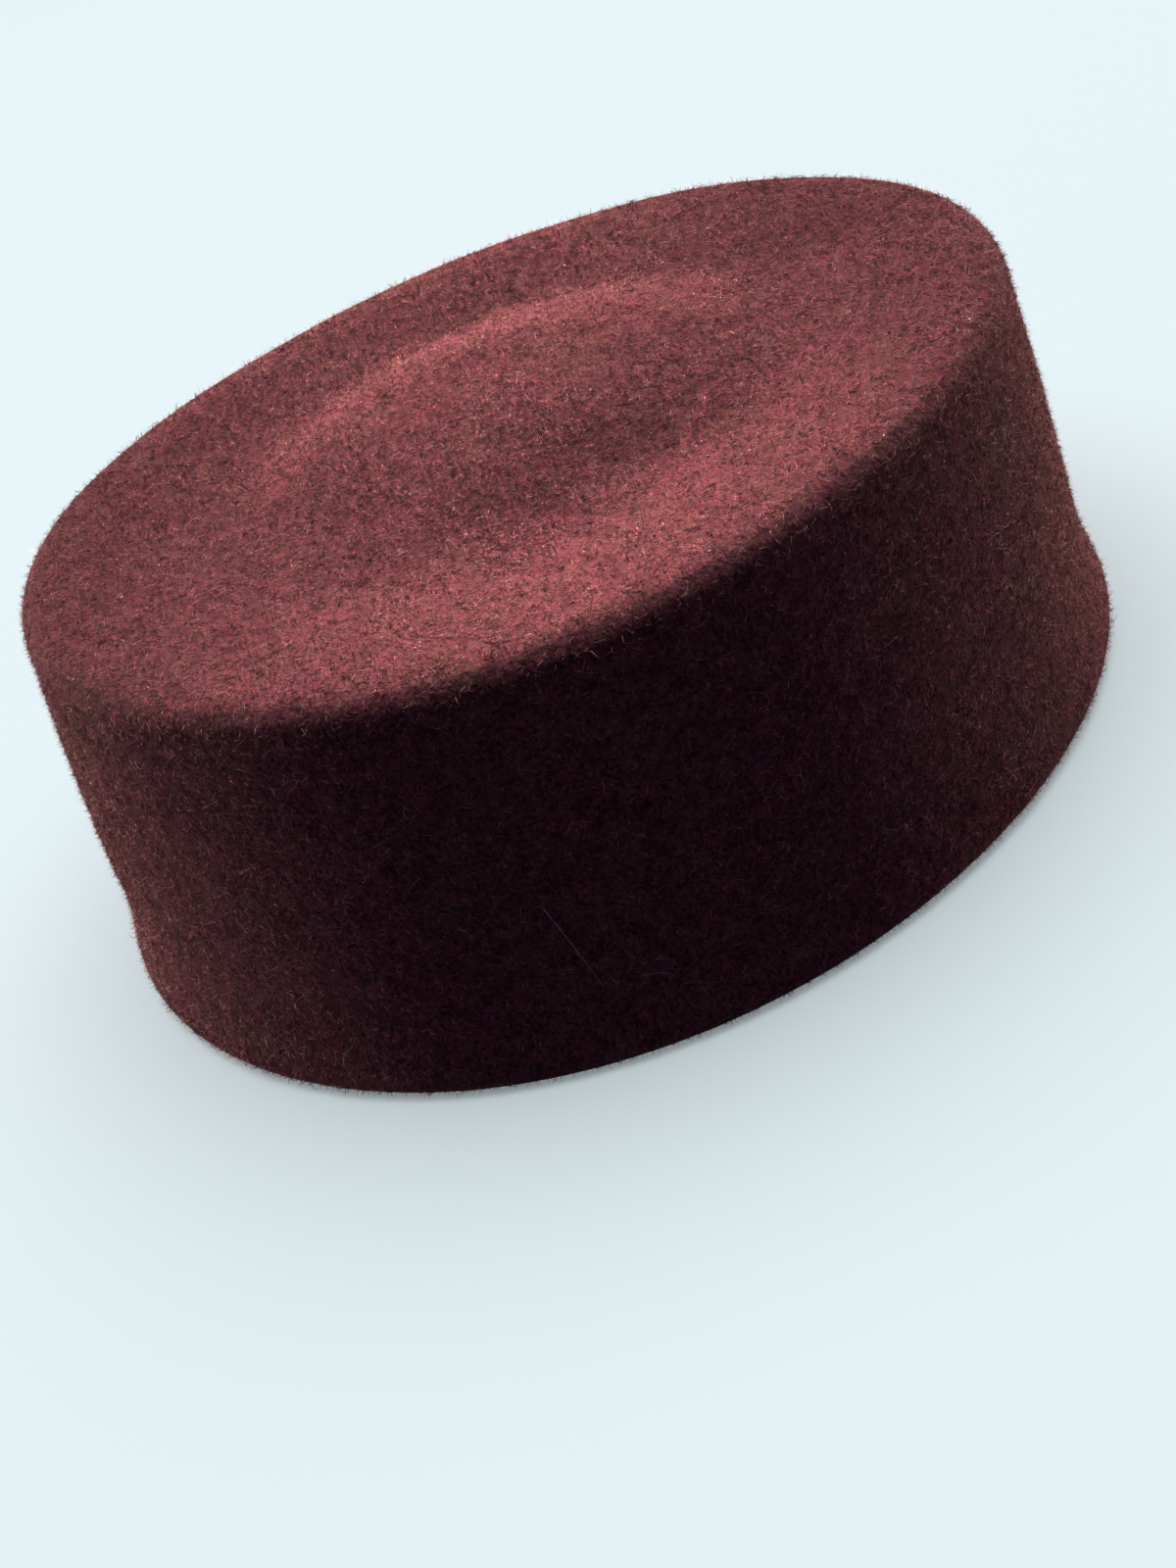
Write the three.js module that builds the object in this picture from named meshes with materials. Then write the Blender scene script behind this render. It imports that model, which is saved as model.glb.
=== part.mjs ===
// Pillbox hat blocked from one piece of wool felt, in millimetres, +Z up.
// It stands on its cut edge, with the origin on the floor at the middle of the hat and the front towards -Y.

import * as THREE from 'three';
import { LoftGeometry } from 'three/addons/geometries/LoftGeometry.js';

// Felt, height of the wall with its shoulder, and the shoulder's radius and sweep from the wall towards the tip.
const FELT_THICKNESS = 2.2;
const HAT_HEIGHT = 71.2;
const SHOULDER_RADIUS = 3.2;
const SHOULDER_SWEEP = 83;
const WALL_HEIGHT = HAT_HEIGHT - SHOULDER_RADIUS;

// The two ovals that the side wall runs between: half width (X), half length (Y), and the fullness of the oval,
// which is 2 for an ellipse and more for a squarer one.
const EDGE_OVAL = { halfWidth: 88.5, halfLength: 98.6, fullness: 2.02 };
const TOP_OVAL = { halfWidth: 84.3, halfLength: 93.6, fullness: 2.065 };

// How much broader the front end is than the middle, as a share of the half width.
const FRONT_BREADTH = 0.0435;

// Side wall from the cut edge up to the shoulder: height above the floor, and how far the felt stands out from
// the straight cone between the two ovals.
const WALL_SECTIONS = [
  { height: 0, outset: -1.2 },
  { height: 2.5, outset: 1 },
  { height: 6, outset: 0.7 },
  { height: 10.5, outset: -0.1 },
  { height: 16, outset: -0.7 },
  { height: 24, outset: -0.5 },
  { height: 36, outset: -0.2 },
  { height: 51, outset: 0 },
  { height: WALL_HEIGHT, outset: 0 },
];

// Tip of the crown from the shoulder to the middle: share of the way out to the shoulder, and rise over its end on
// the steep side and on the gentle side of the low dome that a groove runs round.
const TIP_RINGS = [
  { reach: 1, steepRise: 0, gentleRise: 0 },
  { reach: 0.975, steepRise: 0.03, gentleRise: 0.13 },
  { reach: 0.95, steepRise: 0, gentleRise: 0.12 },
  { reach: 0.92, steepRise: -0.12, gentleRise: -0.08 },
  { reach: 0.88, steepRise: -0.36, gentleRise: -0.45 },
  { reach: 0.82, steepRise: -0.82, gentleRise: -1.05 },
  { reach: 0.75, steepRise: -1.35, gentleRise: -1.7 },
  { reach: 0.62, steepRise: -2.1, gentleRise: -3.05 },
  { reach: 0.54, steepRise: -1.35, gentleRise: -3.4 },
  { reach: 0.46, steepRise: -0.1, gentleRise: -3.35 },
  { reach: 0.375, steepRise: 0.4, gentleRise: -2.9 },
  { reach: 0.2, steepRise: 0.25, gentleRise: -1.45 },
  { reach: 0, steepRise: -0.35, gentleRise: -0.35 },
];

// Bearing of the dome's steep side, from +X towards +Y.
const STEEP_BEARING = 140;

// Places where handling has flattened the top of the wall: bearing from +X towards +Y, half angle, and depth.
const WALL_FLATS = [
  { bearing: 245, spread: 24, depth: 1.7 },
  { bearing: 352, spread: 22, depth: 0.9 },
];

// Shallow hollows pressed into the tip: place, radius and depth, and how late they fade out towards the shoulder.
const TIP_HOLLOWS = [
  { x: 18, y: 75, radius: 14, depth: 0.75 },
  { x: -19, y: 13, radius: 9, depth: 0.45 },
  { x: 38, y: 2, radius: 13, depth: 0.3 },
];
const HOLLOW_FADE = 8;

// Fineness of the faceted surface.
const POINTS_AROUND = 72;
const WALL_STEPS = 11;
const SHOULDER_STEPS = 5;
const TIP_STEPS = 18;

const { lerp, degToRad } = THREE.MathUtils;

// A number raised to a power with its sign kept.
function signedPower(value, power) {
  return Math.sign(value) * Math.abs(value) ** power;
}

// Bell curve of the distance from the middle of a dent, 1 in the middle and small beyond its spread.
function bell(distance, spread) {
  return Math.exp(-((distance / spread) ** 2));
}

// Depth of all the flats of the wall at a bearing, at the top of the wall.
function flatDepth(angle) {
  let depth = 0;
  for (const flat of WALL_FLATS) {
    const turn = angle - degToRad(flat.bearing);
    const nearest = Math.atan2(Math.sin(turn), Math.cos(turn));
    depth += flat.depth * bell(nearest, degToRad(flat.spread));
  }
  return depth;
}

// Depth of all the hollows of the tip at a place.
function hollowDepth(x, y) {
  let depth = 0;
  for (const hollow of TIP_HOLLOWS) {
    depth += hollow.depth * bell(Math.hypot(x - hollow.x, y - hollow.y), hollow.radius);
  }
  return depth;
}

// A level loop of the wall: a superellipse between the edge's oval and the top's, with the front broader than the
// back, moved out along its normals by the outset and in by the flats, which fade out towards the cut edge.
function wallLoop(height, outset) {
  const share = Math.min(height / WALL_HEIGHT, 1);
  const halfWidth = lerp(EDGE_OVAL.halfWidth, TOP_OVAL.halfWidth, share);
  const halfLength = lerp(EDGE_OVAL.halfLength, TOP_OVAL.halfLength, share);
  const power = 2 / lerp(EDGE_OVAL.fullness, TOP_OVAL.fullness, share);
  const loop = [];
  for (let i = 0; i < POINTS_AROUND; i += 1) {
    const angle = (i / POINTS_AROUND) * 2 * Math.PI;
    const along = signedPower(Math.sin(angle), power);
    const across = signedPower(Math.cos(angle), power) * (1 - FRONT_BREADTH * along);
    const normal = new THREE.Vector3(Math.cos(angle) / halfWidth, Math.sin(angle) / halfLength, 0).normalize();
    const point = new THREE.Vector3(halfWidth * across, halfLength * along, height);
    loop.push(point.addScaledVector(normal, outset - share ** 2 * flatDepth(angle)));
  }
  return loop;
}

// A level loop of the shoulder after it has turned in by an angle, at a depth inside the outer face.
function shoulderLoop(turn, depth) {
  const radius = SHOULDER_RADIUS - depth;
  return wallLoop(WALL_HEIGHT + radius * Math.sin(turn), radius * Math.cos(turn) - SHOULDER_RADIUS);
}

// A loop of the tip: the shoulder's last loop drawn in towards the middle, with each point raised by a share of the
// steep side's rise and of the gentle side's, and let down by the depth under the outer face and by the hollows.
function tipLoop(reach, steepRise, gentleRise, depth) {
  return shoulderLoop(degToRad(SHOULDER_SWEEP), 0).map(({ x, y, z }, i) => {
    const turn = (i / POINTS_AROUND) * 2 * Math.PI - degToRad(STEEP_BEARING);
    const rise = lerp(gentleRise, steepRise, (1 + Math.cos(turn)) / 2);
    const hollow = hollowDepth(reach * x, reach * y) * (1 - reach ** HOLLOW_FADE);
    return new THREE.Vector3(reach * x, reach * y, z + rise - depth - hollow);
  });
}

// Loops of one face of the felt, from the cut edge up to the middle of the tip, at a depth inside the outer face.
// The wall moves in level, the shoulder keeps its centre, and the tip moves down.
function faceLoops(depth) {
  const wall = new THREE.SplineCurve(WALL_SECTIONS.map((row) => new THREE.Vector2(row.height, row.outset)));
  const steep = new THREE.SplineCurve(TIP_RINGS.map((row) => new THREE.Vector2(row.reach, row.steepRise)));
  const gentle = new THREE.SplineCurve(TIP_RINGS.map((row) => new THREE.Vector2(row.reach, row.gentleRise)));
  const loops = wall.getPoints(WALL_STEPS).map((row) => wallLoop(row.x, row.y - depth));
  for (let i = 1; i <= SHOULDER_STEPS; i += 1) {
    loops.push(shoulderLoop((i / SHOULDER_STEPS) * degToRad(SHOULDER_SWEEP), depth));
  }
  for (let i = 1; i <= TIP_STEPS; i += 1) {
    const steepRow = steep.getPoint(i / TIP_STEPS);
    const gentleRow = gentle.getPoint(i / TIP_STEPS);
    loops.push(tipLoop(steepRow.x, steepRow.y, gentleRow.y, depth));
  }
  return loops;
}

// The felt is one wall: down its inner face, across the flat cut edge and up its outer face, closed at the middle
// of the tip on both faces.
function feltBody() {
  const inner = faceLoops(FELT_THICKNESS).reverse();
  const outer = faceLoops(0);
  const geometry = new LoftGeometry([...inner, ...outer]);
  const felt = new THREE.MeshStandardMaterial({ color: 0x6a3636, roughness: 0.95, metalness: 0 });
  const body = new THREE.Mesh(geometry, felt);
  body.name = 'felt_body';
  return body;
}

const hat = new THREE.Group();
hat.add(feltBody());

export default hat;
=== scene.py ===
# Pillbox hat of brushed burgundy felt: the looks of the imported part.
# Lengths are in metres unless a name says mm, +Z is up, and the front of the hat is towards -Y.
import math

import bpy
import numpy as np
from mathutils import Matrix


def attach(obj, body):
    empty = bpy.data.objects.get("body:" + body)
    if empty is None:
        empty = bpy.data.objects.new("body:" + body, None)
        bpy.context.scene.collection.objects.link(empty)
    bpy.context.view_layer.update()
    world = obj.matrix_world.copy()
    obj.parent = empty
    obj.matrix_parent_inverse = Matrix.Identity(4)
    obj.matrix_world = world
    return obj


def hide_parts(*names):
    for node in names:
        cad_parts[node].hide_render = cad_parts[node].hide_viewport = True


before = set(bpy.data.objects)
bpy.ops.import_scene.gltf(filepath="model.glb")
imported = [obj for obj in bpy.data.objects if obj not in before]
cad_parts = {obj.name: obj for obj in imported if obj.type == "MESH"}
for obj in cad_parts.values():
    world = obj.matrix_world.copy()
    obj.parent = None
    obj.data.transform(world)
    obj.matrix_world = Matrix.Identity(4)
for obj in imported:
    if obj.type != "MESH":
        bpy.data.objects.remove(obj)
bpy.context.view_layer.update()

# Felt body.
# The hat is one hood of wool felt, steamed and pulled over a wooden block, so that wall, shoulder and tip run
# into each other without a seam. The lower edge is cut level and left raw, and the outer face is brushed up.
MM = 0.001
FELT_THICKNESS = 2.2 * MM
HAT_HEIGHT = 71.2 * MM
SHOULDER_RADIUS = 3.2 * MM
SHOULDER_SWEEP = math.radians(83)
WALL_HEIGHT = HAT_HEIGHT - SHOULDER_RADIUS

# The two ovals that the wall runs between, with a fullness of 2 for an ellipse and more for a squarer oval,
# and how much broader the front end is than the middle, as a share of the half width.
EDGE_OVAL = {"half_width": 88.5 * MM, "half_length": 98.6 * MM, "fullness": 2.02}
TOP_OVAL = {"half_width": 84.3 * MM, "half_length": 93.6 * MM, "fullness": 2.065}
FRONT_BREADTH = 0.0435

# Side wall from the cut edge up: height, and how far the felt stands out from the cone between the two ovals.
WALL_SECTIONS = {
    "height_mm": [0, 2.5, 6, 10.5, 16, 24, 36, 51, WALL_HEIGHT / MM],
    "outset_mm": [-1.2, 1, 0.7, -0.1, -0.7, -0.5, -0.2, 0, 0],
}

# Tip from the shoulder to the middle: share of the way out, and rise on the dome's steep and gentle sides.
TIP_RINGS = {
    "reach": [1, 0.975, 0.95, 0.92, 0.88, 0.82, 0.75, 0.62, 0.54, 0.46, 0.375, 0.2, 0],
    "steep_rise_mm": [0, 0.03, 0, -0.12, -0.36, -0.82, -1.35, -2.1, -1.35, -0.1, 0.4, 0.25, -0.35],
    "gentle_rise_mm": [0, 0.13, 0.12, -0.08, -0.45, -1.05, -1.7, -3.05, -3.4, -3.35, -2.9, -1.45, -0.35],
}
STEEP_BEARING = math.radians(140)

# Station number of the middle of the tip, where wall, shoulder and tip count one station each.
MIDDLE_STATION = 3.0

# Flats that handling has left at the top of the wall, hollows pressed into the tip, and how late the hollows
# fade out towards the shoulder.
WALL_FLATS = [
    {"bearing_deg": 245, "spread_deg": 24, "depth_mm": 1.7},
    {"bearing_deg": 352, "spread_deg": 22, "depth_mm": 0.9},
]
TIP_HOLLOWS = [
    {"x_mm": 18, "y_mm": 75, "radius_mm": 14, "depth_mm": 0.75},
    {"x_mm": -19, "y_mm": 13, "radius_mm": 9, "depth_mm": 0.45},
    {"x_mm": 38, "y_mm": 2, "radius_mm": 13, "depth_mm": 0.3},
]
HOLLOW_FADE = 8

# Slight waves of felt that was pulled by hand, and the height of the wall over which they come in.
WAVES = [
    {"across": 0.9, "along": 0.4, "up": 0.7, "length_mm": 47, "height_mm": 0.07, "phase": 0.6},
    {"across": -0.5, "along": 0.8, "up": 0.5, "length_mm": 33, "height_mm": 0.04, "phase": 2.1},
    {"across": 0.3, "along": -0.9, "up": 0.8, "length_mm": 21, "height_mm": 0.022, "phase": 4.0},
    {"across": 0.8, "along": 0.7, "up": -0.6, "length_mm": 13, "height_mm": 0.012, "phase": 1.3},
]
WAVE_FADE = 12 * MM

# Fineness of the mesh.
POINTS_AROUND = 420
OUTER_ROWS = {"wall": 56, "shoulder": 14, "tip": 70}
INNER_ROWS = {"wall": 22, "shoulder": 6, "tip": 26}
CUT_ROWS = 4


def curve_through(column, share):
    """Smooth curve through a column of values, at shares 0 to 1 of the way along its rows: a cubic from each
    row to the next, whose slope at a row is half the step from the row before to the row after."""
    column = np.asarray(column, dtype=float)
    last = len(column) - 1
    place = share * last
    row = np.minimum(place.astype(int), last - 1)
    part = place - row
    start = column[row]
    end = column[row + 1]
    slope_in = (end - column[np.maximum(row - 1, 0)]) / 2
    slope_out = (column[np.minimum(row + 2, last)] - start) / 2
    cubic = 2 * (start - end) + slope_in + slope_out
    square = 3 * (end - start) - 2 * slope_in - slope_out
    return ((cubic * part + square) * part + slope_in) * part + start


def signed_power(value, power):
    """A number raised to a power with its sign kept."""
    return np.sign(value) * np.abs(value) ** power


def flat_depth(bearing):
    """Depth of the flats at the top of the wall: a sum of bell curves of the bearing."""
    depth = 0
    for flat in WALL_FLATS:
        turn = bearing - math.radians(flat["bearing_deg"])
        nearest = np.arctan2(np.sin(turn), np.cos(turn))
        depth = depth + flat["depth_mm"] * MM * np.exp(-(nearest / math.radians(flat["spread_deg"])) ** 2)
    return depth


def hollow_depth(x, y):
    """Depth of the hollows of the tip: a sum of bell curves of the distance from each one's middle."""
    depth = 0
    for hollow in TIP_HOLLOWS:
        away = np.hypot(x - hollow["x_mm"] * MM, y - hollow["y_mm"] * MM)
        depth = depth + hollow["depth_mm"] * MM * np.exp(-(away / (hollow["radius_mm"] * MM)) ** 2)
    return depth


def wall_oval(bearing, height, outset):
    """Level oval of the wall: a superellipse between the edge's and the top's, broader in front, moved out
    along its normals by the outset and in by the flats, which grow with the square of the height."""
    share = np.minimum(height / WALL_HEIGHT, 1)
    half_width = EDGE_OVAL["half_width"] + (TOP_OVAL["half_width"] - EDGE_OVAL["half_width"]) * share
    half_length = EDGE_OVAL["half_length"] + (TOP_OVAL["half_length"] - EDGE_OVAL["half_length"]) * share
    power = 2 / (EDGE_OVAL["fullness"] + (TOP_OVAL["fullness"] - EDGE_OVAL["fullness"]) * share)
    along = signed_power(np.sin(bearing), power)
    across = signed_power(np.cos(bearing), power) * (1 - FRONT_BREADTH * along)
    steep = np.hypot(np.cos(bearing) / half_width, np.sin(bearing) / half_length)
    move = (outset - share ** 2 * flat_depth(bearing)) / steep
    x = half_width * across + move * np.cos(bearing) / half_width
    y = half_length * along + move * np.sin(bearing) / half_length
    return x, y


def felt_face(bearing, station, depth):
    """Points of the felt at a depth under its outer face. Stations 0 to 1 climb the wall by its sections,
    1 to 2 go round the shoulder's arc, and 2 to 3 cross the tip by its rings to the middle."""
    climb = np.clip(station, 0, 1)
    turn = np.clip(station - 1, 0, 1) * SHOULDER_SWEEP
    cross = np.clip(station - 2, 0, 1)
    radius = SHOULDER_RADIUS - depth
    height = curve_through(WALL_SECTIONS["height_mm"], climb) * MM + radius * np.sin(turn)
    outset = curve_through(WALL_SECTIONS["outset_mm"], climb) * MM - depth + radius * (np.cos(turn) - 1)
    x, y = wall_oval(bearing, height, outset)
    reach = curve_through(TIP_RINGS["reach"], cross)
    steep_side = (1 + np.cos(bearing - STEEP_BEARING)) / 2
    steep_rise = curve_through(TIP_RINGS["steep_rise_mm"], cross)
    gentle_rise = curve_through(TIP_RINGS["gentle_rise_mm"], cross)
    rise = (gentle_rise + (steep_rise - gentle_rise) * steep_side) * MM
    x = x * reach
    y = y * reach
    z = height + rise - hollow_depth(x, y) * (1 - reach ** HOLLOW_FADE)
    return np.stack(np.broadcast_arrays(x, y, z), axis=-1)


def hand_waves(points):
    """Height of the hand's waves at points: a sum of slanted sine waves, nil at the cut edge."""
    lift = 0
    for wave in WAVES:
        slant = np.array([wave["across"], wave["along"], wave["up"]])
        swing = points @ slant * 2 * math.pi / (wave["length_mm"] * MM)
        lift = lift + wave["height_mm"] * MM * np.sin(swing + wave["phase"])
    return lift * np.clip(points[..., 2] / WAVE_FADE, 0, 1)


def grid_normals(points):
    """Unit normals of a grid of points that closes on itself round its second axis: the cross product of the
    steps to the next column and to the next row."""
    step_round = np.roll(points, -1, axis=1) - np.roll(points, 1, axis=1)
    step_on = np.gradient(points, axis=0)
    normals = np.cross(step_round, step_on)
    return normals / np.linalg.norm(normals, axis=-1, keepdims=True)


def stations(rows):
    """Station numbers of the rows of one face, from the cut edge to just short of the middle of the tip."""
    wall = np.linspace(0, 1, rows["wall"], endpoint=False)
    shoulder = np.linspace(1, 2, rows["shoulder"], endpoint=False)
    tip = np.linspace(2, MIDDLE_STATION, rows["tip"], endpoint=False)
    return np.concatenate([wall, shoulder, tip])[:, None]


def mesh_piece(name, points, quads, triangles, material):
    """A smooth mesh object at the origin, from an array of points and two arrays of corner numbers."""
    corners = np.concatenate([np.ravel(quads), np.ravel(triangles)]).astype(np.int32)
    sizes = np.concatenate([np.full(len(quads), 4), np.full(len(triangles), 3)]).astype(np.int32)
    starts = np.concatenate([[0], np.cumsum(sizes)[:-1]]).astype(np.int32)
    mesh = bpy.data.meshes.new(name)
    mesh.vertices.add(len(points))
    mesh.vertices.foreach_set("co", np.ravel(points).astype(np.float32))
    mesh.loops.add(len(corners))
    mesh.loops.foreach_set("vertex_index", corners)
    mesh.polygons.add(len(sizes))
    mesh.polygons.foreach_set("loop_start", starts)
    mesh.polygons.foreach_set("use_smooth", np.ones(len(sizes), dtype=bool))
    mesh.update(calc_edges=True)
    mesh.validate()
    mesh.materials.append(material)
    piece = bpy.data.objects.new(name, mesh)
    bpy.context.scene.collection.objects.link(piece)
    return piece


class Wire:
    """A socket of a node tree. Sums and products of wires that carry numbers add Math nodes."""

    def __init__(self, tree, socket):
        self.tree = tree
        self.socket = socket

    def node(self, kind, settings, sockets, output=0):
        """A new node of a kind: its settings are set first, then its sockets get their values or links."""
        made = self.tree.nodes.new(kind)
        for name, value in settings.items():
            setattr(made, name, value)
        for name, value in sockets.items():
            if isinstance(value, Wire):
                self.tree.links.new(value.socket, made.inputs[name])
            else:
                made.inputs[name].default_value = value
        return Wire(self.tree, made.outputs[output]) if made.outputs else None

    def math(self, operation, first, second):
        """A Math node on two numbers, each of them a wire or a plain number."""
        return self.node("ShaderNodeMath", {"operation": operation}, {0: first, 1: second})

    def __add__(self, other):
        return self.math("ADD", self, other)

    def __radd__(self, other):
        return self.math("ADD", other, self)

    def __mul__(self, other):
        return self.math("MULTIPLY", self, other)

    def __rmul__(self, other):
        return self.math("MULTIPLY", other, self)

    def noise(self, size_mm, detail, roughness, distortion=0.0):
        """Noise of about 0 to 1 with lumps of a size, at this place."""
        sockets = {"Vector": self, "Scale": 1 / (size_mm * MM), "Detail": detail, "Roughness": roughness}
        return self.node("ShaderNodeTexNoise", {}, {**sockets, "Distortion": distortion})

    def between(self, low, high):
        """This number rescaled so that low gives 0 and high gives 1, clipped and eased."""
        sockets = {"Value": self, "From Min": low, "From Max": high}
        return self.node("ShaderNodeMapRange", {"interpolation_type": "SMOOTHSTEP"}, sockets)

    def blend(self, first, second):
        """The first colour where this number is 0 and the second where it is 1. A Mix node takes its colours
        at sockets 6 and 7 and gives their mixture at output 2."""
        return self.node("ShaderNodeMix", {"data_type": "RGBA"}, {0: self, 6: first, 7: second}, output=2)


def new_material(name):
    """An empty node material, and a wire that carries the place on the piece in metres."""
    material = bpy.data.materials.new(name)
    material.use_nodes = True
    material.node_tree.nodes.clear()
    coordinates = material.node_tree.nodes.new("ShaderNodeTexCoord")
    return material, Wire(material.node_tree, coordinates.outputs["Object"])


# Dark and light felt of a rosy and a brown dye, the dark also painted shade in low relief, and the sheen of
# both.
WINE = (0.060, 0.013, 0.018, 1)
CLARET = (0.270, 0.060, 0.077, 1)
UMBER = (0.050, 0.018, 0.016, 1)
RUSSET = (0.220, 0.080, 0.072, 1)
ROSE_SHEEN = (0.60, 0.24, 0.27, 1)
BROWN_SHEEN = (0.50, 0.25, 0.22, 1)
SHEEN_WEIGHT = 0.6
SHEEN_ROUGHNESS = 0.35
FELT_ROUGHNESS = 0.9
FELT_SPECULAR = 0.0

# Noises of the felt, how they are shared and stretched to make its colours, and the brushed face's relief.
GRAIN = {"size_mm": 0.7, "detail": 4, "roughness": 0.6, "distortion": 0.8}
TUFTS = {"size_mm": 2.8, "detail": 4, "roughness": 0.7}
PATCHES = {"size_mm": 14, "detail": 3, "roughness": 0.6}
DYE = {"size_mm": 1.3, "detail": 2, "roughness": 0.6}
GRAIN_SHARE = 0.6
DYE_SHARE = 0.7
LIGHTNESS_AND_SHADE_LIMITS = (0.35, 0.65)
BROWN_LIMITS = (0.36, 0.64)
RELIEF_DEPTH = 1.35 * MM
RELIEF_STRENGTH = 0.8

felt, place = new_material("felt")
grain = place.noise(**GRAIN)
tufts = place.noise(**TUFTS)
patches = place.noise(**PATCHES)
dye = place.noise(**DYE)
relief = grain * GRAIN_SHARE + tufts * (1 - GRAIN_SHARE)
# The lightness is random tone of the felt plus painted shade: it follows the relief, darker where the relief
# is low.
lightness_and_painted_shade = relief.between(*LIGHTNESS_AND_SHADE_LIMITS)
brownness = (dye * DYE_SHARE + patches * (1 - DYE_SHARE)).between(*BROWN_LIMITS)
colour = brownness.blend(lightness_and_painted_shade.blend(WINE, CLARET), lightness_and_painted_shade.blend(UMBER, RUSSET))
relief_sockets = {"Strength": RELIEF_STRENGTH, "Distance": RELIEF_DEPTH, "Height": relief}
normal = place.node("ShaderNodeBump", {}, relief_sockets)
felt_sockets = {
    "Base Color": colour,
    "Roughness": FELT_ROUGHNESS,
    "Specular IOR Level": FELT_SPECULAR,
    "Sheen Weight": SHEEN_WEIGHT,
    "Sheen Roughness": SHEEN_ROUGHNESS,
    "Normal": normal,
}
rosy = place.node("ShaderNodeBsdfPrincipled", {}, {**felt_sockets, "Sheen Tint": ROSE_SHEEN})
brown = place.node("ShaderNodeBsdfPrincipled", {}, {**felt_sockets, "Sheen Tint": BROWN_SHEEN})
brushed = place.node("ShaderNodeMixShader", {}, {0: brownness, 1: rosy, 2: brown})
place.node("ShaderNodeOutputMaterial", {}, {"Surface": brushed})

bearings = np.linspace(0, 2 * math.pi, POINTS_AROUND, endpoint=False)[None, :]
outer = felt_face(bearings, stations(OUTER_ROWS), 0)
outer = outer + grid_normals(outer) * hand_waves(outer)[..., None]
inner = felt_face(bearings, stations(INNER_ROWS), FELT_THICKNESS)
inner = inner[::-1]
cut_depths = np.linspace(FELT_THICKNESS, 0, CUT_ROWS + 2)[1:-1, None]
cut = felt_face(bearings, np.zeros_like(cut_depths), cut_depths)
rows = np.concatenate([inner, cut, outer])
middle = felt_face(np.zeros(1), np.full(1, MIDDLE_STATION), np.array([FELT_THICKNESS, 0]))
felt_points = np.concatenate([rows.reshape(-1, 3), middle])
number = np.arange(rows.shape[0] * POINTS_AROUND).reshape(rows.shape[:2])
following = np.roll(number, -1, axis=1)
felt_quads = np.stack([number[:-1], following[:-1], following[1:], number[1:]], axis=-1).reshape(-1, 4)
inner_middle = np.full(POINTS_AROUND, number.size)
inner_fan = np.stack([inner_middle, following[0], number[0]], axis=-1)
outer_fan = np.stack([number[-1], following[-1], inner_middle + 1], axis=-1)
felt_body = mesh_piece("felt_shell", felt_points, felt_quads, np.concatenate([inner_fan, outer_fan]), felt)
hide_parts("felt_body")
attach(felt_body, "root")

# Nap.
# The brushed outer face is a fur of short wool fibres that stand out by about a millimetre and let a little
# warm light through. Red, brown, plum and rosy fibres are mixed all over it, and each colour is one piece.
NAP_FIBRES = [
    {"name": "nap_red", "count": 28000, "colour": (0.23, 0.036, 0.050), "length_mm": 1.4, "width_mm": 0.11},
    {"name": "nap_brown", "count": 24000, "colour": (0.18, 0.068, 0.052), "length_mm": 1.4, "width_mm": 0.11},
    {"name": "nap_plum", "count": 28000, "colour": (0.036, 0.011, 0.018), "length_mm": 1.2, "width_mm": 0.13},
    {"name": "nap_rose", "count": 20000, "colour": (0.50, 0.165, 0.185), "length_mm": 1.5, "width_mm": 0.10},
]

# How the fibres stand: their slope over the felt, with more of them low the greater the leaning, the spread
# of their lengths, the depth of their roots, and how far they keep off the floor.
FIBRE_SLOPE = {"least_deg": 8, "added_deg": 67, "leaning": 1.6}
LENGTH_SHARES = (0.5, 1.3)
FIBRE_ROOT = -0.15 * MM
FIBRE_CLEARANCE = 0.15 * MM

# Build of a strand: its sides, how much thinner it ends, and a slant that its first side is turned from.
STRAND_SIDES = 3
STRAND_TAPER = 0.6
STRAND_SLANT = [0.3, 0.2, 0.1]
NO_QUADS = np.zeros((0, 4))

# Dye of the fibres, darker and lighter by the felt's own tufts as random tone and painted shade in the gaps,
# and light that seeps through them.
TUFT_TONES_AND_SHADE = (0.5, 1.5)
TUFT_LIMITS = (0.34, 0.66)
NAP_ROUGHNESS = 0.8
WOOL_SPECULAR = 0.1
GLOW_WEIGHT = 0.5
GLOW_TINT = (1.0, 0.60, 0.45)
GLOW_DEPTH = 0.15 * MM


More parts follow.
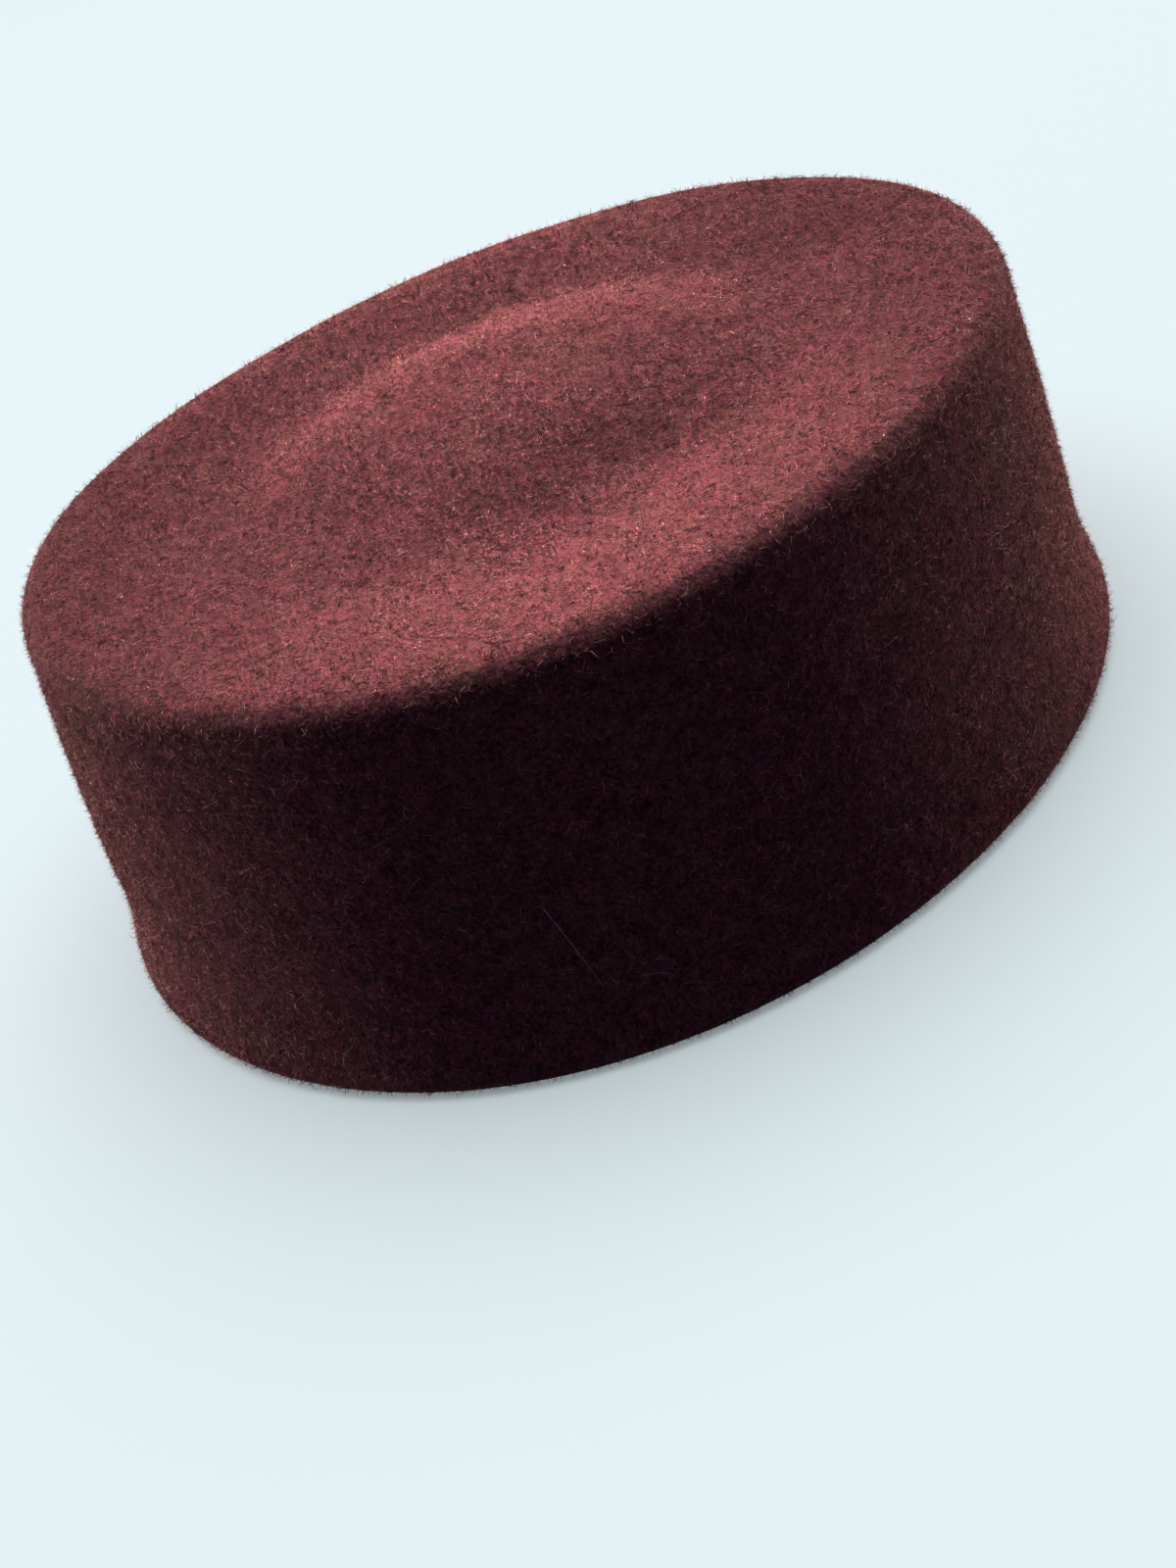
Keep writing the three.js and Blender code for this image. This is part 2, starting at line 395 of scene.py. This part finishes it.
def strand_mesh(paths, width):
    """Points and triangles of strands that follow paths, one row of points for each: a tube round all but the
    last point of a path, thinner towards the end, closed by a face at the root and by a point at the tip."""
    count, length = paths.shape[:2]
    forward = np.gradient(paths, axis=1)
    forward = forward / np.linalg.norm(forward, axis=-1, keepdims=True)
    sideways = np.cross(forward, np.roll(forward, 1, axis=-1) + STRAND_SLANT)
    sideways = sideways / np.linalg.norm(sideways, axis=-1, keepdims=True)
    upwards = np.cross(forward, sideways)
    taper = width / 2 * (1 - STRAND_TAPER * np.linspace(0, 1, length))[None, :, None]
    turns = np.arange(STRAND_SIDES) * 2 * math.pi / STRAND_SIDES
    rings = [paths + taper * (math.cos(turn) * sideways + math.sin(turn) * upwards) for turn in turns]
    rings = np.stack(rings, axis=2)[:, :-1].reshape(count, -1, 3)
    points = np.concatenate([rings, paths[:, -1:]], axis=1)
    side = np.arange(STRAND_SIDES)
    after = np.roll(side, -1)
    ring = STRAND_SIDES * np.arange(length - 2)[:, None]
    above = ring + STRAND_SIDES
    lower = np.stack([ring + side, ring + after, above + after], axis=-1).reshape(-1, 3)
    upper = np.stack([ring + side, above + after, above + side], axis=-1).reshape(-1, 3)
    last = STRAND_SIDES * (length - 2)
    point = np.stack([last + side, last + after, np.full(STRAND_SIDES, last + STRAND_SIDES)], axis=-1)
    pattern = np.concatenate([side[None, ::-1], lower, upper, point])
    triangles = pattern[None] + points.shape[1] * np.arange(count)[:, None, None]
    return points.reshape(-1, 3), triangles.reshape(-1, 3)


def places_on_felt(random, count):
    """Random places on the outer face, and the face's normals there: a cell of the grid is drawn by its area,
    and then a place inside the cell."""
    here = outer[:-1]
    along = np.roll(outer, -1, axis=1)[:-1] - here
    onward = outer[1:] - here
    area = np.linalg.norm(np.cross(along, onward), axis=-1).ravel()
    cell = random.choice(area.size, size=count, p=area / area.sum())
    shares = random.random((2, count, 1))
    spot = here.reshape(-1, 3)[cell] + shares[0] * along.reshape(-1, 3)[cell]
    spot = spot + shares[1] * onward.reshape(-1, 3)[cell]
    return spot, outer_normals[:-1].reshape(-1, 3)[cell]


def flat_against(vectors, away):
    """Unit vectors along the face: the vectors with their part along the face's normal taken out."""
    level = vectors - away * np.sum(vectors * away, axis=-1, keepdims=True)
    return level / np.linalg.norm(level, axis=-1, keepdims=True)


def plain_shader(place, sockets):
    """Ends a material in one Principled shader with these values and wires on its sockets."""
    shader = place.node("ShaderNodeBsdfPrincipled", {}, sockets)
    place.node("ShaderNodeOutputMaterial", {}, {"Surface": shader})


def fibre_piece(name, colour, sockets, points, triangles):
    """A piece of fibres on the felt: its colour goes from a dark to a light shade of the colour by the noise
    of the felt's tufts, which is random tone and painted shade in the gaps between tufts, and the other
    sockets of its shader are given."""
    fibre, fibre_place = new_material(name)
    dark, light = [(*(shade * part for part in colour), 1) for shade in TUFT_TONES_AND_SHADE]
    # The fibres' colour is random tone and painted shade: darker where the felt's tuft noise, part of its
    # relief, is low.
    dyed_and_shaded = fibre_place.noise(**TUFTS).between(*TUFT_LIMITS).blend(dark, light)
    plain_shader(fibre_place, {"Base Color": dyed_and_shaded, "Specular IOR Level": WOOL_SPECULAR, **sockets})
    piece = mesh_piece(name, points, NO_QUADS, triangles, fibre)
    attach(piece, "root")
    fibre_pieces.append(piece)


nap_sockets = {
    "Roughness": NAP_ROUGHNESS,
    "Subsurface Weight": GLOW_WEIGHT,
    "Subsurface Radius": GLOW_TINT,
    "Subsurface Scale": GLOW_DEPTH,
}
outer_normals = grid_normals(outer)
fibre_pieces = []
for row_number, row in enumerate(NAP_FIBRES):
    random = np.random.default_rng(row_number + 1)
    count = row["count"]
    root, away = places_on_felt(random, count)
    lean = flat_against(random.normal(size=(count, 3)), away)
    raised = random.random((count, 1)) ** FIBRE_SLOPE["leaning"]
    slope = np.radians(FIBRE_SLOPE["least_deg"] + FIBRE_SLOPE["added_deg"] * raised)
    length = row["length_mm"] * MM * random.uniform(*LENGTH_SHARES, (count, 1))
    end = root + length * (np.sin(slope) * away + np.cos(slope) * lean)
    paths = np.stack([root + FIBRE_ROOT * away, end], axis=1)
    paths[..., 2] = np.maximum(paths[..., 2], FIBRE_CLEARANCE)
    fibre_piece(row["name"], row["colour"], nap_sockets, *strand_mesh(paths, row["width_mm"] * MM))

# Curls and stray hairs.
# Longer strands lie curled in the nap, thick rosy and plum ones and thin pale undyed ones, one to three
# millimetres long. Some stray hairs and lint cling to it, among them one long hair on the wall.
CURLS = [
    {"name": "curls_rose", "count": 15000, "colour": (0.52, 0.165, 0.185), "width_mm": 0.14},
    {"name": "curls_plum", "count": 5000, "colour": (0.055, 0.016, 0.025), "width_mm": 0.16},
    {"name": "curls_pale", "count": 8500, "colour": (0.72, 0.40, 0.38), "width_mm": 0.07},
]
CURL_PATH = {"steps": 3, "length_mm": (1.0, 3.4), "lift_mm": (0.05, 0.5), "curl_rad": 2.2}
HAIRS = {
    "count": 90,
    "width_mm": 0.055,
    "steps": 9,
    "length_mm": (2.5, 7.0),
    "lift_mm": (0.3, 1.3),
    "curl_rad": 3.4,
}
LINT = {
    "bearing_deg": [326.8, 284.5, 298.5],
    "height_mm": [62.9, 17.9, 41.8],
    "width_mm": 0.13,
    "steps": 5,
    "length_mm": (1.6, 2.4),
    "lift_mm": (0.3, 0.7),
    "curl_rad": 1.5,
}
LONG_HAIR = {
    "bearing_deg": [315.5, 317, 318.2],
    "height_mm": [31.8, 23.2, 15],
    "width_mm": 0.1,
    "steps": 24,
    "lift_mm": 0.9,
}
HAIR_COLOUR = (0.90, 0.76, 0.72)
STRAND_ROUGHNESS = 0.75

# Seed of the curls' random places, and the steps in which a height on the wall is looked up.
CURL_SEED = 20
WALL_SAMPLES = 200


def winding_paths(random, root, away, size):
    """Paths that wind over the felt from their roots: each goes on by equal steps while its heading turns
    evenly, and it stands off the felt by half a sine wave."""
    count = len(root)
    share = np.linspace(0, 1, size["steps"])[None, :, None]
    heading = flat_against(random.normal(size=(count, 3)), away)[:, None]
    sideways = np.cross(away[:, None], heading)
    length = random.uniform(*size["length_mm"], (count, 1, 1)) * MM
    lift = random.uniform(*size["lift_mm"], (count, 1, 1)) * MM
    turn = random.uniform(-size["curl_rad"], size["curl_rad"], (count, 1, 1)) * share
    walk = np.cumsum(np.cos(turn) * heading + np.sin(turn) * sideways, axis=1) * length / size["steps"]
    paths = root[:, None] + walk + lift * np.sin(math.pi * share) * away[:, None]
    paths[..., 2] = np.maximum(paths[..., 2], FIBRE_CLEARANCE)
    return paths


def places_on_wall(bearing_deg, height_mm):
    """Places on the outer face of the wall at bearings and heights, with the station read off the wall's
    sections, and the level unit vectors that point out to them from the hat's upright axis."""
    climb = np.linspace(0, 1, WALL_SAMPLES)
    station = np.interp(height_mm, curve_through(WALL_SECTIONS["height_mm"], climb), climb)
    spot = felt_face(np.radians(bearing_deg), station, 0)
    return spot, spot * [1, 1, 0] / np.linalg.norm(spot[:, :2], axis=-1, keepdims=True)


strand_sockets = {"Roughness": STRAND_ROUGHNESS}
random = np.random.default_rng(CURL_SEED)
for row in CURLS:
    curl_paths = winding_paths(random, *places_on_felt(random, row["count"]), CURL_PATH)
    fibre_piece(row["name"], row["colour"], strand_sockets, *strand_mesh(curl_paths, row["width_mm"] * MM))
hair_paths = winding_paths(random, *places_on_felt(random, HAIRS["count"]), HAIRS)
lint_paths = winding_paths(random, *places_on_wall(LINT["bearing_deg"], LINT["height_mm"]), LINT)
along_hair = np.linspace(0, 1, LONG_HAIR["steps"])
long_bearing = curve_through(LONG_HAIR["bearing_deg"], along_hair)
long_height = curve_through(LONG_HAIR["height_mm"], along_hair)
long_spot, long_away = places_on_wall(long_bearing, long_height)
long_path = long_spot + LONG_HAIR["lift_mm"] * MM * long_away
hair_points = np.zeros((0, 3))
hair_triangles = np.zeros((0, 3), dtype=int)
for size, paths in [(HAIRS, hair_paths), (LINT, lint_paths), (LONG_HAIR, long_path[None])]:
    strand_points, strand_triangles = strand_mesh(paths, size["width_mm"] * MM)
    hair_triangles = np.concatenate([hair_triangles, strand_triangles + len(hair_points)])
    hair_points = np.concatenate([hair_points, strand_points])
fibre_piece("stray_hairs", HAIR_COLOUR, strand_sockets, hair_points, hair_triangles)

# Floor.
# The hat stands rim down on a plain pale matt floor, which is a flat disc round the hat. It takes the hat's
# shadow and throws no soft light back on the felt.
FLOOR_RADIUS = 1.5
FLOOR_POINTS = 96
FLOOR_COLOUR = (0.80, 0.84, 0.86, 1)
FLOOR_ROUGHNESS = 0.8
FLOOR_SPECULAR = 0.1

floor_material, floor_place = new_material("pale_floor")
floor_sockets = {
    "Base Color": FLOOR_COLOUR,
    "Roughness": FLOOR_ROUGHNESS,
    "Specular IOR Level": FLOOR_SPECULAR,
}
plain_shader(floor_place, floor_sockets)
floor_bearings = np.linspace(0, 2 * math.pi, FLOOR_POINTS, endpoint=False)
floor_rim = np.stack([np.cos(floor_bearings), np.sin(floor_bearings), 0 * floor_bearings], axis=-1)
floor_points = np.concatenate([FLOOR_RADIUS * floor_rim, np.zeros((1, 3))])
floor_number = np.arange(FLOOR_POINTS)
floor_fan = np.stack([floor_number, np.roll(floor_number, -1), np.full(FLOOR_POINTS, FLOOR_POINTS)], axis=-1)
floor = mesh_piece("floor", floor_points, NO_QUADS, floor_fan, floor_material)
floor.visible_diffuse = False

# Lights and their card.
# A narrow beam from behind grazes the dome, a broad light lies overhead, two long low lights graze the wall
# and a weak one stands in front. Two more light the floor alone, the second without shadows. A curved black
# card behind the hat, which the camera doesn't see, keeps the low lights off the back of the wall.
HAT_LIGHTS = [
    {"name": "light_behind", "azimuth_deg": 240, "elevation_deg": 9.5, "distance": 2.5, "spread_deg": 5,
     "width": 0.12, "height": 0.04, "watts": 0.32, "colour": (1, 0.75, 0.70)},
    {"name": "light_overhead", "azimuth_deg": 240, "elevation_deg": 66, "distance": 2.5, "spread_deg": 180,
     "width": 1.6, "height": 1.6, "watts": 63, "colour": (0.88, 1, 0.99)},
    {"name": "light_left", "azimuth_deg": 281, "elevation_deg": -1.2, "distance": 2, "spread_deg": 180,
     "width": 2.4, "height": 0.06, "watts": 67, "colour": (0.97, 1, 0.97)},
    {"name": "light_right", "azimuth_deg": 192, "elevation_deg": -1.2, "distance": 2, "spread_deg": 180,
     "width": 2.4, "height": 0.06, "watts": 75, "colour": (0.93, 1, 0.90)},
    {"name": "light_front", "azimuth_deg": 57, "elevation_deg": 35, "distance": 1.6, "spread_deg": 180,
     "width": 1.4, "height": 1.4, "watts": 2.8, "colour": (0.48, 0.53, 1)},
]
FLOOR_LIGHTS = [
    {"name": "light_above", "azimuth_deg": 240, "elevation_deg": 80, "distance": 3, "spread_deg": 180,
     "width": 5, "height": 5, "watts": 105, "colour": (0.91, 0.99, 1)},
    {"name": "light_around", "azimuth_deg": 240, "elevation_deg": 80, "distance": 3, "spread_deg": 180,
     "width": 4, "height": 4, "watts": 69, "colour": (0.91, 0.99, 1)},
]
CARD = {"radius": 0.16, "height": 0.0812, "azimuth_deg": (178, 300), "points": 32}
CARD_COLOUR = (0.02, 0.02, 0.02, 1)


def direction(azimuth_deg, elevation_deg):
    """Unit vector from the hat, by the sines and cosines of two angles: the azimuth, turned from the front
    towards the wearer's left, and the elevation over the level."""
    azimuth = math.radians(azimuth_deg)
    elevation = math.radians(elevation_deg)
    level = math.cos(elevation)
    return np.array([math.sin(azimuth) * level, -math.cos(azimuth) * level, math.sin(elevation)])


def axes_across(back):
    """The two axes of a thing that faces against a direction: a level one to its right, and the one that is
    square to both, as cross products."""
    right = np.cross([0, 0, 1], back)
    right = right / np.linalg.norm(right)
    return right, np.cross(back, right)


def face_along(thing, right, up, back, location):
    """Place a light or a camera, which looks along its own -Z, by its three axes and its location."""
    matrix = np.eye(4)
    matrix[:3, :4] = np.stack([right, up, back, location], axis=-1)
    thing.matrix_world = Matrix(matrix.tolist())


def soft_light(row, lit):
    """A soft light at a bearing and elevation from the middle of the tip, which it faces. It lights one group
    of objects, and its beam fades towards the edges of its spread."""
    lamp = bpy.data.lights.new(row["name"], "AREA")
    lamp.shape = "RECTANGLE"
    lamp.size = row["width"]
    lamp.size_y = row["height"]
    lamp.spread = math.radians(row["spread_deg"])
    lamp.energy = row["watts"]
    lamp.color = row["colour"]
    light = bpy.data.objects.new(row["name"], lamp)
    bpy.context.scene.collection.objects.link(light)
    back = direction(row["azimuth_deg"], row["elevation_deg"])
    face_along(light, *axes_across(back), back, back * row["distance"] + [0, 0, HAT_HEIGHT])
    light.light_linking.receiver_collection = lit
    return light


card_material, card_place = new_material("black_card")
plain_shader(card_place, {"Base Color": CARD_COLOUR})
card_azimuths = np.radians(np.linspace(*CARD["azimuth_deg"], CARD["points"]))
card_foot = np.stack([np.sin(card_azimuths), -np.cos(card_azimuths), 0 * card_azimuths], axis=-1)
card_foot = CARD["radius"] * card_foot
card_points = np.concatenate([card_foot, card_foot + [0, 0, CARD["height"]]])
card_number = np.arange(CARD["points"] - 1)
card_quads = np.stack([0, 1, CARD["points"] + 1, CARD["points"]]) + card_number[:, None]
card = mesh_piece("light_card", card_points, card_quads, np.zeros((0, 3)), card_material)
card.visible_camera = False
card.visible_diffuse = False
card.visible_glossy = False
card.visible_transmission = False

hat_group = bpy.data.collections.new("hat")
for piece in [felt_body, *fibre_pieces]:
    hat_group.objects.link(piece)
floor_group = bpy.data.collections.new("floor")
floor_group.objects.link(floor)
for row in HAT_LIGHTS:
    soft_light(row, hat_group)
light_above, light_around = [soft_light(row, floor_group) for row in FLOOR_LIGHTS]
light_above.light_linking.blocker_collection = hat_group
light_around.data.use_shadow = False

# Studio and camera.
# The studio round the hat is pale to look at and gives hardly any light. The camera stands above the floor
# at the photo's angle to the hat, rolled to one side, and looks just past the middle of the hat.
STUDIO_LIGHT = (0.02, 0.022, 0.028, 1)
STUDIO_SEEN = (0.753, 0.88, 0.93, 1)
CAMERA = {
    "azimuth_deg": 57.2,
    "elevation_deg": 31.5,
    "roll_deg": -20.7,
    "distance": 0.4467,
    "aside_mm": -7.2,
    "raised_mm": -8.5,
    "lens_mm": 54,
    "sensor_mm": 36,
}

world = bpy.data.worlds.new("studio")
world.use_nodes = True
world.node_tree.nodes.clear()
ray = world.node_tree.nodes.new("ShaderNodeLightPath")
seen = Wire(world.node_tree, ray.outputs["Is Camera Ray"])
studio = seen.node("ShaderNodeBackground", {}, {"Color": seen.blend(STUDIO_LIGHT, STUDIO_SEEN)})
seen.node("ShaderNodeOutputWorld", {}, {"Surface": studio})
bpy.context.scene.world = world

lens = bpy.data.cameras.new("camera")
lens.lens = CAMERA["lens_mm"]
lens.sensor_width = CAMERA["sensor_mm"]
camera = bpy.data.objects.new("camera", lens)
bpy.context.scene.collection.objects.link(camera)
camera_back = direction(CAMERA["azimuth_deg"], CAMERA["elevation_deg"])
level_right, level_up = axes_across(camera_back)
roll = math.radians(CAMERA["roll_deg"])
camera_right = math.cos(roll) * level_right + math.sin(roll) * level_up
camera_up = math.cos(roll) * level_up - math.sin(roll) * level_right
camera_shift = CAMERA["aside_mm"] * MM * camera_right + CAMERA["raised_mm"] * MM * camera_up
camera_place = camera_shift + CAMERA["distance"] * camera_back
face_along(camera, camera_right, camera_up, camera_back, camera_place)
bpy.context.scene.camera = camera
bpy.context.scene.view_settings.view_transform = "Standard"
